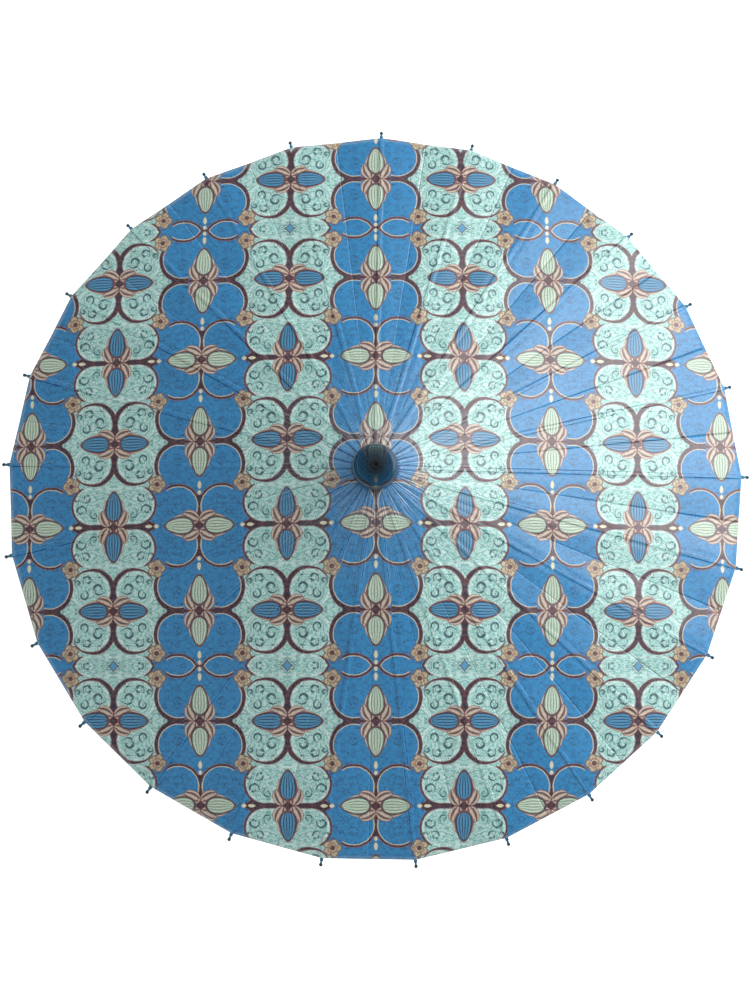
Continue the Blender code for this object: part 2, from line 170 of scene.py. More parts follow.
class Field:
    """A number or a colour in a shader tree, which takes part in plain arithmetic."""

    def __init__(self, tree, socket):
        self.tree = tree
        self.socket = socket

    def _math(self, operation, first, second=None, third=None, clamp=False):
        node = self.tree.nodes.new("ShaderNodeMath")
        node.operation = operation
        node.use_clamp = clamp
        for index, value in enumerate((first, second, third)):
            if value is not None:
                plug(self.tree, node.inputs[index], value)
        return Field(self.tree, node.outputs[0])

    def __add__(self, other):
        return self._math("ADD", self, other)

    def __sub__(self, other):
        return self._math("SUBTRACT", self, other)

    def __rsub__(self, other):
        return self._math("SUBTRACT", other, self)

    def __mul__(self, other):
        return self._math("MULTIPLY", self, other)

    def __truediv__(self, other):
        return self._math("DIVIDE", self, other)

    def __pow__(self, other):
        return self._math("POWER", self, other)

    def __abs__(self):
        return self._math("ABSOLUTE", self)

    def least(self, other):
        return self._math("MINIMUM", self, other)

    def most(self, other):
        return self._math("MAXIMUM", self, other)

    def sine(self):
        return self._math("SINE", self)

    def angle_to(self, other):
        """The angle of the point (self, other), in radians."""
        return self._math("ARCTAN2", other, self)

    def pingpong(self, scale):
        return self._math("PINGPONG", self, scale)

    def below(self, edge, soft=0.9):
        """1 where the field is under edge, 0 where it is over."""
        return self._math("MULTIPLY_ADD", self, -1 / soft, edge / soft + 0.5, clamp=True)

    def above(self, edge, soft=0.9):
        return self._math("MULTIPLY_ADD", self, 1 / soft, 0.5 - edge / soft, clamp=True)

    def between(self, low, high, soft=0.9):
        return self.above(low, soft) * self.below(high, soft)


def plug(tree, socket, value):
    if isinstance(value, Field):
        tree.links.new(value.socket, socket)
    else:
        socket.default_value = value


def mix(factor, under, over):
    """The colour under, covered by over where factor is 1."""
    tree = factor.tree
    node = tree.nodes.new("ShaderNodeMix")
    node.data_type = "RGBA"
    plug(tree, node.inputs["Factor"], factor)
    plug(tree, node.inputs["A"], under)
    plug(tree, node.inputs["B"], over)
    return Field(tree, node.outputs["Result"])


def either(mask, when_off, when_on):
    """A plain number picked by a mask."""
    return mask * (when_on - when_off) + when_off


def combined(tree, x, y, z=0.0):
    node = tree.nodes.new("ShaderNodeCombineXYZ")
    for socket, value in zip(node.inputs, (x, y, z)):
        plug(tree, socket, value)
    return Field(tree, node.outputs[0])


def separated(vector):
    node = vector.tree.nodes.new("ShaderNodeSeparateXYZ")
    plug(vector.tree, node.inputs[0], vector)
    return [Field(vector.tree, output) for output in node.outputs]


def distance(vector, point):
    node = vector.tree.nodes.new("ShaderNodeVectorMath")
    node.operation = "DISTANCE"
    plug(vector.tree, node.inputs[0], vector)
    node.inputs[1].default_value = (*point, 0)
    return Field(vector.tree, node.outputs["Value"])


def grain(vector, scale, detail=2.0, stretch=(1, 1, 1), roughness=0.5):
    """Noise from 0 to 1."""
    tree = vector.tree
    mapping = tree.nodes.new("ShaderNodeMapping")
    plug(tree, mapping.inputs["Vector"], vector)
    mapping.inputs["Scale"].default_value = [scale * side for side in stretch]
    node = tree.nodes.new("ShaderNodeTexNoise")
    plug(tree, node.inputs["Vector"], Field(tree, mapping.outputs[0]))
    node.inputs["Scale"].default_value = 1
    node.inputs["Detail"].default_value = detail
    node.inputs["Roughness"].default_value = roughness
    return Field(tree, node.outputs["Fac"])


def placed(vector, centre, angle=0.0, scale=(1, 1)):
    """The vector's two coordinates about a centre, turned by an angle and divided by a scale."""
    tree = vector.tree
    node = tree.nodes.new("ShaderNodeMapping")
    node.vector_type = "TEXTURE"
    plug(tree, node.inputs["Vector"], vector)
    node.inputs["Location"].default_value = (*centre, 0)
    node.inputs["Rotation"].default_value = (0, 0, math.radians(angle))
    node.inputs["Scale"].default_value = (*scale, 1)
    along, across, _ = separated(Field(tree, node.outputs[0]))
    return along, across


def leaf(vector, centre, angle, half_length, half_width, taper=0.0, power=1.35):
    """A pointed oval, 1 on its outline, and the place across it, from -1 to 1 all along."""
    along, across = placed(vector, centre, angle, (half_length, half_width))
    across = across * (along * taper + 1)
    field = along * along + abs(across) ** power
    spread = across / ((along * along).least(1) * -1 + 1.15) ** 0.7
    return field, spread


def attribute(tree, name):
    node = tree.nodes.new("ShaderNodeAttribute")
    node.attribute_name = name
    return Field(tree, node.outputs["Vector"])


def new_material(name):
    material = bpy.data.materials.new(name)
    material.use_nodes = True
    return material, material.node_tree, material.node_tree.nodes["Principled BSDF"]


def bump(tree, shader, height, strength, span):
    node = tree.nodes.new("ShaderNodeBump")
    node.inputs["Strength"].default_value = strength
    node.inputs["Distance"].default_value = span
    plug(tree, node.inputs["Height"], height)
    plug(tree, shader.inputs["Normal"], Field(tree, node.outputs[0]))


# The print --------------------------------------------------------------------------------


def folded(tree):
    """Print coordinates in millimetres, and a mask of the short rows where the bands mirror.

    u runs from the blue column's centre to the mint column's, and v from row to row.
    """
    x, y, _ = separated(attribute(tree, "print"))
    band_place = y.pingpong(BAND)
    u = x.pingpong(COLUMN)
    v = band_place.pingpong(ROW)
    flat = combined(tree, u, v)
    wobble_u = (grain(flat, 0.11) - 0.5) * PRINT_WOBBLE
    wobble_v = (grain(combined(tree, v, u, 7.0), 0.11) - 0.5) * PRINT_WOBBLE
    return combined(tree, u + wobble_u, v + wobble_v), band_place.above(2 * ROW, 0.01)


def shape_fields(place, u, v):
    """Distances to the print's rounded shapes, less their radii."""
    capped = combined(place.tree, u.least(BELL[0]), v)
    return {
        "high": distance(place, HIGH_LOBE) - HIGH_RADIUS,
        "low": distance(place, LOW_LOBE) - LOW_RADIUS,
        "arch": distance(place, ARCH) - ARCH_RADIUS,
        "bell": distance(capped, BELL) - BELL_RADIUS,
        "high_band": v * -0.035 + 4.7,
    }


def mint_field(u, v, shapes):
    """Above 0 where the ground is mint: the quarters round a mint flower, and the bells between."""
    top = (48 - v).most((u - 54).least(56 - v))
    quarter = (shapes["high"] - shapes["high_band"]).least(u - 33).least(top)
    return quarter.most(shapes["bell"] * -1)


def band(field, width):
    """Above 0 within a band just outside a shape's edge."""
    return field.least(width - field)


def outline_field(u, v, shapes):
    """Above 0 within the brown lines: bands round the lobes, and the stems between flowers.

    Each band is cut off where it meets the next shape, at a place across or up the print.
    """
    high = band(shapes["high"], shapes["high_band"]).least(u - 17).least(42 - v)
    low = band(shapes["low"], LOW_LINE).least(38 - u).least(76 - v)
    arch = band(shapes["arch"], u * 0.09 - 3.9).least((v - 34).most(u - 87))
    bell = band(shapes["bell"], BELL_LINE).least(v - 50)
    lines = high.most(low).most(arch).most(bell)
    from_mint = COLUMN - u
    to_row = ROW - v
    lines = lines.most((ROW_STEM - v).least(ROW_STEM_END - u))
    lines = lines.most((MINT_STEM - from_mint).least(MINT_STEM_END - v))
    lines = lines.most((BLUE_STEM - u).least(v - BLUE_STEM_START))
    lines = lines.most(shapes["low"].least(7 - u).least(v - BLUE_STEM_START))
    wedge = shapes["bell"].least((u - 45) * 0.55 - to_row)
    return lines.most(wedge)


def light_field(u, v, shapes):
    """Above 0 within the thin cream light inside each blue lobe."""
    high = band(shapes["high"] + 1.0, 1.1).least(u - 17).least(38 - v)
    low = band(shapes["low"] + 1.0, 1.1).least(37 - u).least(78 - v)
    side = band(u - BLUE_STEM, 0.8).least(v - 66)
    return high.most(low).most(side)


def paint_ground(place, u, v, shapes):
    """The blue and mint grounds, with brush strokes that follow the outlines, and sprigs."""
    mint = mint_field(u, v, shapes).above(0, 1.0)
    cloud = grain(place, 0.1)
    broken = grain(place, 0.45, 2.0)
    blue = mix(cloud.between(0.4, 0.6, 0.3), linear(BLUE_DEEP), linear(BLUE))
    edge = shapes["arch"].least(shapes["bell"])
    strokes = (edge * 1.7 + cloud * 26 + broken * 5).sine()
    green = mix(strokes.above(0.1, 1.6), linear(MINT), linear(MINT_PALE))
    inked = strokes.below(-0.62, 0.5) * broken.above(0.47, 0.14)
    green = mix(inked * 0.28, green, linear(MINT_SHADE))
    rim = edge.between(-3.2, -1.0, 1.2) * cloud.above(0.42, 0.2)
    green = mix(rim * 0.7, green, linear(MINT_RIM))
    ground = mix(mint, blue, green)
    vine = grain(place, 0.13, 1.0)
    sprig = abs(vine - 0.5).below(0.026, 0.022) * broken.above(0.48, 0.1)
    away = either(mint, 0.6, 0.5)
    return mix(sprig * away, ground, mix(mint, linear(NAVY), linear(MINT_INK)))


def paint_curls(place, ground):
    """Inked scrolls in the lobes: open rings, each with a smaller ring rolled up inside it."""
    inked = None
    scrolls = [(80, 25, 6.6, 150), (67, 34, 5.2, 40), (63, 18, 5.2, 260), (56, 31, 4.0, 90)]
    scrolls += [(59, 74, 6.0, 200), (65, 60, 5.0, 320), (74, 79, 4.4, 70), (55, 61, 3.8, 150)]
    scrolls += [(80, 40, 3.2, 300), (25, 21, 5.8, 30), (24, 66, 6.0, 210), (33, 78, 3.6, 100)]
    for across, up, radius, opening in scrolls:
        x, y = placed(place, (across, up), opening, (radius, radius))
        reach = (x * x + y * y) ** 0.5
        turn = x.angle_to(y) / math.pi
        spiral = abs(reach - 0.74 - turn * 0.34)
        width = (1 - abs(turn)) * 0.16 + 0.08
        curl = (width - spiral).above(0, 0.12) * reach.below(1.25, 0.1)
        inked = curl if inked is None else inked.most(curl)
    wear = grain(place, 0.3, 1.0).above(0.4, 0.12)
    u, _, _ = separated(place)
    strength = u.above(46, 4) * 0.45 + 0.45
    ink = mix(u.above(46, 4), linear(NAVY), linear(MINT_INK))
    return mix(inked * wear * strength, ground, ink)


def flower_place(place, u, v, mint_column, mirrored):
    """Where a point is from its nearest flower: along the flower's buds, and across them."""
    near_u = u.least(COLUMN - u)
    near_v = v.least(ROW - v + mirrored * ROW)
    lower = v.above(ROW / 2, 0.01) * (1 - mirrored)
    turned = abs(lower - mint_column)
    along = either(turned, near_v, near_u)
    across = either(turned, near_u, near_v)
    return combined(place.tree, along, across)


def paint_flowers(place, ground, u, v, ink, mirrored):
    """Two buds and eight sepals round each heart. The buds are cream on blue, and blue on mint."""
    mint_column = u.above(COLUMN / 2, 0.01)
    flower = flower_place(place, u, v, mint_column, mirrored)
    rust = linear(RUST)
    heart = distance(flower, (0, 0))
    ground = mix(heart.below(CALYX, 1.2), ground, ink)
    for centre, angle, length, width in (OUTER_SEPAL, INNER_SEPAL):
        sepal, spread = leaf(flower, centre, angle, length, width, 0.0, 1.9)
        veins = (spread * 8 + 1.2).sine().above(-0.2, 0.9)
        ground = mix(sepal.below(1.1, 0.14), ground, rust)
        ground = mix(sepal.below(0.94, 0.14), ground, mix(veins, linear(SEPAL_SHADE), linear(SEPAL)))
        ground = mix(sepal.between(0.4, 0.52, 0.1) * 0.5, ground, ink)
    bud, spread = leaf(flower, BUD_CENTRE, 0, BUD_LENGTH, BUD_WIDTH, 0.26, 1.8)
    veins = (spread * 20 + 1.6).sine().above(-0.1, 1.3)
    cream = mix(veins, linear(BUD_SHADE), linear(BUD_CREAM))
    blue = mix(veins, linear(BUD_NAVY), linear(BUD_BLUE))
    ground = mix(bud.below(1.16, 0.14), ground, mix(mint_column, linear(SEPAL_SHADE), rust))
    ground = mix(bud.below(1.0, 0.12), ground, ink)
    ground = mix(bud.below(0.84, 0.12), ground, mix(mint_column, cream, blue))
    return mix(heart.below(HEART, 1.4), ground, ink)


def paint_blossom(place, ground):
    """A small five-petalled flower where four lobes meet."""
    x, y = placed(place, BLOSSOM)
    petals = abs((x.angle_to(y) * 2.5).sine())
    reach = distance(place, BLOSSOM) / (petals * 2.2 + 7.6)
    wilt = grain(place, 0.5, 1.0)
    ground = mix(reach.below(1.08, 0.12), ground, linear(SEPAL_SHADE))
    petal = mix(wilt.above(0.48, 0.14), linear(PETAL_SHADE), linear(PETAL))
    ground = mix(reach.below(0.94, 0.12) * petals.above(0.16, 0.3), ground, petal)
    ground = mix(abs(reach - 0.55).below(0.06, 0.08) * wilt.above(0.47, 0.1), ground, linear(RUST))
    return mix(reach.below(0.3, 0.12), ground, linear(BROWN))


def paint_drops(ground, u, v):
    """Two cream beads past the tips of the buds, down the blue column and across to the mint."""
    low = v.above(ROW * 0.72, 0.01)
    along = either(low, 104.6 - v, u)
    across = either(low, u, ROW - v)
    bead = combined(u.tree, along, across)
    for centre, half_length, half_width in ((48, 2.7, 2.1), (56.6, 4.4, 1.9)):
        drop, _ = leaf(bead, (centre, 0), 0, half_length, half_width)
        ground = mix(drop.below(1.0, 0.3), ground, linear(CREAM))
    return ground


def paint_star(ground, u, v, mirrored):
    """The small blue star where the bands mirror between two mint flowers."""
    across = abs(COLUMN - u)
    up = abs(v - SHORT_ROW)
    star = across**0.65 + up**0.65 + (1 - mirrored) * ROW
    ground = mix(star.between(4.9, 5.4, 0.3) * 0.6, ground, linear(MINT_INK))
    ground = mix(star.below(4.0, 0.4), ground, linear(BROWN))
    return mix(star.below(3.3, 0.4), ground, linear(BUD_BLUE))


def printed(tree, colour):
    """The press's uneven ink: bright and dark flecks along the paper's grain."""
    sheet = attribute(tree, "print")
    fleck = grain(sheet, 0.8, 3.0, (1.5, 0.8, 1), 0.75)
    weave = grain(sheet, 1.3, 2.0, (1.6, 0.4, 1), 0.6)
    colour = mix(fleck.above(0.6, 0.14) * 0.4, colour, linear(BLUE_FLECK))
    colour = mix(fleck.below(0.44, 0.14) * 0.5, colour, linear(FLECK_DARK))
    colour = mix(weave.above(0.66, 0.14) * 0.14, colour, linear(WEAVE_PALE))
    return mix(weave.below(0.38, 0.14) * 0.3, colour, linear(WEAVE_DARK)), fleck


def print_colour(tree):
    """The whole block print, and the flecks that the paper's gloss also follows."""
    place, mirrored = folded(tree)
    u, v, _ = separated(place)
    shapes = shape_fields(place, u, v)
    ground = paint_ground(place, u, v, shapes)
    ground = paint_curls(place, ground)
    ground = paint_star(ground, u, v, mirrored)
    core = grain(place, 0.35, 2.0)
    ink = mix(core.above(0.5, 0.2), linear(BROWN), linear(BROWN_DEEP))
    outline = outline_field(u, v, shapes)
    ground = mix(outline.above(-0.35, 0.8), ground, linear(RUST))
    ground = mix(outline.above(0.25, 0.8), ground, ink)
    ground = mix(light_field(u, v, shapes).above(0.12, 0.5) * 0.85, ground, linear(CREAM))
    ground = paint_flowers(place, ground, u, v, ink, mirrored)
    ground = paint_blossom(place, ground)
    ground = paint_drops(ground, u, v)
    return printed(tree, ground)


def shade_darkened(colour):
    """The colour darkened and fuller, for painted shade beside the ribs and in the pleats' folds."""
    node = colour.tree.nodes.new("ShaderNodeGamma")
    plug(colour.tree, node.inputs["Color"], colour)
    node.inputs["Gamma"].default_value = 2.2
    return Field(colour.tree, node.outputs[0])


def paint_rib_and_pleat_shading(tree, colour):
    """Painted shade and painted highlight lines along each rib, and painted shade and painted highlight
    streaks on the pleats fanning out from the cap.
    """
    offset, reach, _ = separated(attribute(tree, "gore"))
    aside = offset * 1000
    lengthwise = combined(tree, aside, reach * 1000)
    patches = grain(lengthwise, 0.045, 2.0)
    sheet = attribute(tree, "print")
    region = grain(sheet, 0.006, 0.0).above(0.46, 0.2)
    # Painted shade: broken dark lines along both edges of each rib
    dark = abs(aside - 2.4).below(0.4, 0.5) * patches.above(0.44, 0.12) * region
    dark = dark.most(abs(aside + 2.2).below(0.25, 0.4) * patches.below(0.47, 0.1) * 0.8)
    colour = mix(dark * 0.9, colour, shade_darkened(colour))
    # Painted highlight: a thin pale line beside each rib
    pale = abs(aside + 3.1).below(0.15, 0.3) * patches.below(0.48, 0.1) * region
    colour = mix(pale * 0.5, colour, linear(RIB_HIGHLIGHT_PALE))
    fan = combined(tree, offset / reach, reach)
    pleat_streaks = grain(fan, 1.0, 3.0, (300, 14, 1), 0.7)
    near = reach.below(0.09, 0.1)
    # Painted shade: dark streaks in the folds of the pleats round the cap
    folds = pleat_streaks.below(0.42, 0.07) * near
    colour = mix(folds * 0.75, colour, shade_darkened(colour))
    # Painted highlight: pale streaks on the pleats round the cap
    pleat_highlight = pleat_streaks.above(0.58, 0.05) * near
    return mix(pleat_highlight * 0.62, colour, linear(PLEAT_HIGHLIGHT_PALE)), pleat_streaks * near, dark.most(folds)


def paper_material():
    """The printed, oiled face of the paper."""
    material, tree, shader = new_material("printed_oiled_paper")
    colour, fleck = print_colour(tree)
    # The print with painted shade and highlight lines along the ribs and on the pleats; the coat is
    # left off where shade is painted
    colour, pleat_streaks, painted_shade_lines = paint_rib_and_pleat_shading(tree, colour)
    fibre = grain(attribute(tree, "print"), 2.2, 4.0, roughness=0.7)
    plug(tree, shader.inputs["Base Color"], colour)
    plug(tree, shader.inputs["Roughness"], fleck * 0.2 + 0.42)
    shader.inputs["Specular IOR Level"].default_value = 0.2
    plug(tree, shader.inputs["Coat Weight"], 1 - painted_shade_lines)
    shader.inputs["Coat Roughness"].default_value = 0.42
    shader.inputs["Coat IOR"].default_value = 2.1
    bump(tree, shader, fibre * 0.7 + pleat_streaks * 1.6, 0.3, 0.4 * MM)
    return material


def underside_material():
    """The print showing faintly through the paper's inner face."""
    material, tree, shader = new_material("paper_inner_face")
    colour, fleck = print_colour(tree)
    fibre = grain(attribute(tree, "print"), 1.2, 4.0, (1, 3, 1), 0.7)
    veil = mix(fleck.above(0.3, 1.2) * 0.25, linear("cfc8a8"), linear("b9b48f"))
    seen = mix(fibre.above(0.3, 0.6) * 0.16 + 0.44, colour, veil)
    plug(tree, shader.inputs["Base Color"], seen)
    shader.inputs["Roughness"].default_value = 0.6
    bump(tree, shader, fibre, 0.3, 0.3 * MM)
    return material


# Other materials --------------------------------------------------------------------------


def rest_position(tree):
    node = tree.nodes.new("ShaderNodeTexCoord")
    return Field(tree, node.outputs["Object"])


def reach_from_axis(x, y):
    return (x * x + y * y) ** 0.5


def split_bamboo(name, light, dark, painted=None):
    """Bamboo split lengthwise: fine fibres along each rib, and paint past the paper's edge."""
    material, tree, shader = new_material(name)
    x, y, z = separated(rest_position(tree))
    reach = reach_from_axis(x, y)
    angle = x.angle_to(y)
    along = combined(tree, angle * 60, reach, z)
    fibre = grain(along, 1.0, 4.0, (9, 14, 90), 0.6)
    tone = grain(along, 1.0, 1.0, (0.5, 3, 3))
    colour = mix(fibre.above(0.5, 0.5), linear(light), linear(dark))
    colour = mix(tone.above(0.5, 0.4) * 0.35, colour, linear("a5733c"))
    roughness = fibre * 0.25 + 0.35
    if painted:
        coat = reach.above(painted, 0.001)
        paint = mix(fibre.above(0.56, 0.1), linear("1f5f86"), linear("3d7d84"))
        bead = reach.above(painted + 6.5 * MM, 0.001)
        paint = mix(bead, paint, linear("233c40"))
        colour = mix(coat, colour, paint)
    plug(tree, shader.inputs["Base Color"], colour)
    plug(tree, shader.inputs["Roughness"], roughness)
    bump(tree, shader, fibre, 0.3, 0.2 * MM)
    return material


def round_bamboo():
    """A bamboo pole: long fibres, and a dark ring with a pale edge at each node."""
    material, tree, shader = new_material("bamboo_pole")
    position = rest_position(tree)
    x, y, z = separated(position)
    fibre = grain(position, 1.0, 4.0, (900, 900, 12), 0.6)
    mottle = grain(position, 1.0, 2.0, (60, 60, 20))
    ring = (z + mottle * 0.003).pingpong(0.058)
    colour = mix(fibre.above(0.5, 0.5), linear("b98a4e"), linear("94683a"))
    colour = mix(mottle.above(0.55, 0.25) * 0.5, colour, linear("7c5328"))
    colour = mix(ring.below(0.0012, 0.001), colour, linear("50331b"))
    colour = mix(ring.between(0.0022, 0.0034, 0.001) * 0.5, colour, linear("dcc28c"))
    plug(tree, shader.inputs["Base Color"], colour)
    plug(tree, shader.inputs["Roughness"], fibre * 0.2 + 0.3)
    shader.inputs["Coat Weight"].default_value = 0.3
    bump(tree, shader, fibre * 0.3 + ring.below(0.0016, 0.002), 0.5, 0.3 * MM)
    return material


def turned_wood(name, light, dark, coat):
    """Lathe-turned wood: grain along the axis and fine tool rings round it."""
    material, tree, shader = new_material(name)
    position = rest_position(tree)
    _, _, z = separated(position)
    fibre = grain(position, 1.0, 4.0, (260, 260, 26), 0.6)
    rings = (z * 5200).sine()
    colour = mix(fibre.above(0.5, 0.4), linear(light), linear(dark))
    plug(tree, shader.inputs["Base Color"], colour)
    plug(tree, shader.inputs["Roughness"], fibre * 0.25 + 0.3)
    shader.inputs["Coat Weight"].default_value = coat
    shader.inputs["Coat Roughness"].default_value = 0.2
    bump(tree, shader, fibre + rings * 0.12, 0.3, 0.2 * MM)
    return material


def twisted_thread():
    material, tree, shader = new_material("waxed_thread")
    position = rest_position(tree)
    x, y, z = separated(position)
    twist = (x.angle_to(y) * 900 + z * 9000).sine()
    fluff = grain(position, 1800, 2.0)
    colour = mix(twist.above(0.0, 1.5), linear("8f7a52"), linear("c6b389"))
    colour = mix(fluff.above(0.6, 0.2) * 0.4, colour, linear("6b5836"))
    plug(tree, shader.inputs["Base Color"], colour)
    shader.inputs["Roughness"].default_value = 0.75
    bump(tree, shader, twist + fluff, 0.5, 0.1 * MM)
    return material


def cap_material():
    """Print under dark gloss lacquer, with the lathe's rings, and painted shade in the dimple at the
    crown.
    """
    material, tree, shader = new_material("lacquered_cap")
    colour, fleck = print_colour(tree)
    x, y, z = separated(rest_position(tree))
    reach = reach_from_axis(x, y)
    rings = (reach * 4200 + z * 2600).sine()
    streak = grain(combined(tree, x, y, z), 1.0, 3.0, (420, 420, 420))
    turned = grain(combined(tree, reach, z), 1.0, 2.0, (900, 900, 1))
    dark = mix(streak.above(0.5, 0.3), linear("020f17"), linear("042f46"))
    dark = mix(turned.above(0.6, 0.1) * 0.5, dark, linear("14607f"))
    side = reach.above(15 * MM, 8 * MM)
    colour = mix(0.97 - side * 0.1, colour, dark)
    # Painted shade: a dark patch in the dimple at the crown, a little off its centre
    hollow_shade = distance(combined(tree, x, y), (1 * MM, -1 * MM)).below(8 * MM, 8 * MM)
    colour = mix(hollow_shade * 0.8, colour, linear("010608"))
    plug(tree, shader.inputs["Base Color"], colour)
    plug(tree, shader.inputs["Roughness"], fleck * 0.15 + hollow_shade * 0.45 + 0.26)
    plug(tree, shader.inputs["Coat Weight"], 0.35 - hollow_shade * 0.35)
    shader.inputs["Coat Roughness"].default_value = 0.12
    bump(tree, shader, rings * 0.35 + turned, 0.35, 0.25 * MM)
    return material


# Geometry ---------------------------------------------------------------------------------


def print_point(position):
    """A point's place on the print, in millimetres. The print is straight from nearly overhead."""
    up = Vector((0, math.sin(PRINT_ELEVATION), math.cos(PRINT_ELEVATION)))
    rise = position.dot(up) - rim_height * up.z
    return Vector((position.x / MM - PRINT_SHIFT, rise / MM - FIRST_ROW, 0))


def store_vectors(mesh, name, values):
    layer = mesh.attributes.new(name, "FLOAT_VECTOR", "POINT")
    layer.data.foreach_set("vector", [c for value in values for c in value])


def canopy_rings(node):
    """(radius, height) of the outer face at the paper's hole and at its corners."""
    points = [v.co for v in node.data.vertices]
    far = max(math.hypot(p.x, p.y) for p in points)
    outer = max((p for p in points if math.hypot(p.x, p.y) > 0.9 * far), key=lambda p: p.z)
    inner = max((p for p in points if math.hypot(p.x, p.y) < 0.2 * far), key=lambda p: p.z)
    return (math.hypot(inner.x, inner.y), inner.z), (math.hypot(outer.x, outer.y), outer.z)


(hole_radius, hole_height), (corner_radius, rim_height) = canopy_rings(frame["nodes"]["canopy"])
slope = math.atan2(hole_height - rim_height, corner_radius - hole_radius)
rib_joints = [j for j in frame["joints"] if j["child"].startswith("rib_")]
half_gore = math.pi / len(rib_joints)


def cross_stations():
    """Shares of half a gore's width, close together near the rib."""
    near = [0, 0.012, 0.03, 0.055, 0.09, 0.14, 0.2, 0.27]
    return near + [0.35, 0.44, 0.53, 0.62, 0.71, 0.8, 0.89, 0.96, 1]


def paper_drop(reach, share):
    """How far the paper lies under its flat panel, at a share of the way to the mid-panel fold."""
    offset = reach * math.sin(half_gore) * share
    openness = reach / corner_radius
    sag = PANEL_SAG * openness * share**1.6
    beside_rib = smoothstep(RIB_HALF_WIDTH, RIB_HALF_WIDTH * 1.5, offset)
    beside_rib *= 1 - smoothstep(RIB_HALF_WIDTH * 1.6, RIB_HALF_WIDTH * 5, offset)
    pleat = 0.5 - 0.5 * math.cos(4 * math.pi * share)
    pleat *= 1 - smoothstep(hole_radius * 1.1, PLEAT_REACH, reach)
    return sag + beside_rib * RIB_STEP * smoothstep(hole_radius, 0.1, reach) + pleat * PLEAT_HEIGHT


def gore_point(angle, reach, side, share):
    """A point of the paper beside the rib at this angle. Side is -1 or 1."""
    on_rib = Vector((math.cos(angle), math.sin(angle), 0)) * reach
    middle = angle + side * half_gore
    on_fold = Vector((math.cos(middle), math.sin(middle), 0)) * reach * math.cos(half_gore)
    point = on_rib.lerp(on_fold, share)
    point.z = hole_height - (reach - hole_radius) * math.tan(slope)
    cockle = noise.noise(Vector((point.x, point.y, 0)) * 38) * COCKLE_HEIGHT
    cockle *= smoothstep(0, 0.25, share) * smoothstep(hole_radius, 0.12, reach)
    point.z -= paper_drop(reach, share) + max(cockle, -COCKLE_HEIGHT)
    return point


def new_piece(name, shape, materials):
    """A linked object from a bmesh, which is freed."""
    mesh = bpy.data.meshes.new(name)
    shape.to_mesh(mesh)
    shape.free()
    for material in materials:
        mesh.materials.append(material)
    mesh.shade_smooth()
    piece = bpy.data.objects.new(name, mesh)
    bpy.context.scene.collection.objects.link(piece)
    return piece


def paper_piece(name, rows, offsets, materials, thickness):
    """A sheet through rows of points, which carries its place on the print and beside the rib."""
    shape = bmesh.new()
    lines = [[shape.verts.new(point) for point in row] for row in rows]
    for low, high in zip(lines, lines[1:]):
        for i in range(len(low) - 1):
            shape.faces.new((low[i], high[i], high[i + 1], low[i + 1]))
    piece = new_piece(name, shape, materials)
    store_vectors(piece.data, "print", [print_point(point) for row in rows for point in row])
    store_vectors(piece.data, "gore", offsets)
    shell = piece.modifiers.new("paper thickness", "SOLIDIFY")
    shell.thickness = thickness
    shell.offset = -1
    shell.material_offset = len(materials) - 1
    shell.material_offset_rim = 0
    return piece


def build_gore(name, angle, materials):
    """The paper from the middle of the panel on one side of a rib to the middle on the other."""
    stations = cross_stations()
    sides = [(-1, share) for share in reversed(stations[1:])] + [(1, share) for share in stations]
    rows = []
    offsets = []
    for row in range(GORE_ROWS + 1):
        reach = hole_radius + (corner_radius - hole_radius) * (row / GORE_ROWS) ** 1.25
        rows.append([gore_point(angle, reach, side, share) for side, share in sides])
        offsets += [(side * share * reach * math.sin(half_gore), reach, 0) for side, share in sides]
    return paper_piece(name, rows, offsets, materials, PAPER_THICKNESS)


def build_strip(name, angle, material):
    """The narrow paper that wraps over a rib, carried on the rib's body."""
    outward = Vector((math.cos(angle), math.sin(angle), 0))
    across = Vector((-math.sin(angle), math.cos(angle), 0))
    half = STRIP_HALF_WIDTH
    section = [(-half, -STRIP_DEPTH), (-half, -STRIP_DEPTH / 3), (-half, -STRIP_RISE * 3)]
    section += [(-half + 0.3 * MM, STRIP_RISE / 2), (-half / 2, STRIP_RISE), (0, STRIP_RISE * 1.2)]
    section += [(-offset, rise) for offset, rise in reversed(section[:-1])]
    rows = []
    offsets = []
    for row in range(GORE_ROWS + 1):
        reach = hole_radius + (corner_radius - 0.2 * MM - hole_radius) * row / GORE_ROWS
        level = hole_height - (reach - hole_radius) * math.tan(slope)
        rows.append([outward * reach + across * x + Vector((0, 0, level + z)) for x, z in section])
        offsets += [(x, reach, 0) for x, z in section]
    return paper_piece(name, rows, offsets, [material], STRIP_THICKNESS)


def build_canopy():
    """A gore and a strip for each rib, both carried on the rib's body."""
    face = paper_material()
    inner = underside_material()
    for index, joint in enumerate(rib_joints):
        pivot = Vector(joint["pos_m"])
        angle = math.atan2(pivot.y, pivot.x)
        gore = build_gore(f"paper_gore_{index + 1:02d}", angle, (face, inner))
        if index == 0:
            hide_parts("canopy")
        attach(gore, joint["child"])
        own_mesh(gore)
        strip = build_strip(f"rib_paper_{index + 1:02d}", angle, face)
        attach(strip, joint["child"])


def build_joint_threads(material):
    """A length of thread through each rib's joint, carried on the rib's body."""
    low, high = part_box("joint_thread")
    radius = (high.z - low.z) / 2
    stretcher_joints = [j for j in frame["joints"] if j["child"].startswith("stretcher_")]
    for index, (joint, rib) in enumerate(zip(stretcher_joints, rib_joints)):
        hinge = Vector(joint["pos_m"])
        axis = Vector(rib["axis"])
        reach = math.hypot(hinge.x, hinge.y)
        length = 2 * reach * math.tan(half_gore)
        turn = axis.to_track_quat("Z", "Y").to_matrix().to_4x4()
        shape = bmesh.new()
        bmesh.ops.create_cone(
            shape,
            cap_ends=True,
            segments=12,
            radius1=radius,
            radius2=radius,
            depth=length,
            matrix=Matrix.Translation(hinge) @ turn,
        )
        piece = new_piece(f"joint_thread_{index + 1:02d}", shape, [material])
        if index == 0:
            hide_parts("joint_thread")
        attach(piece, rib["child"])
        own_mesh(piece)


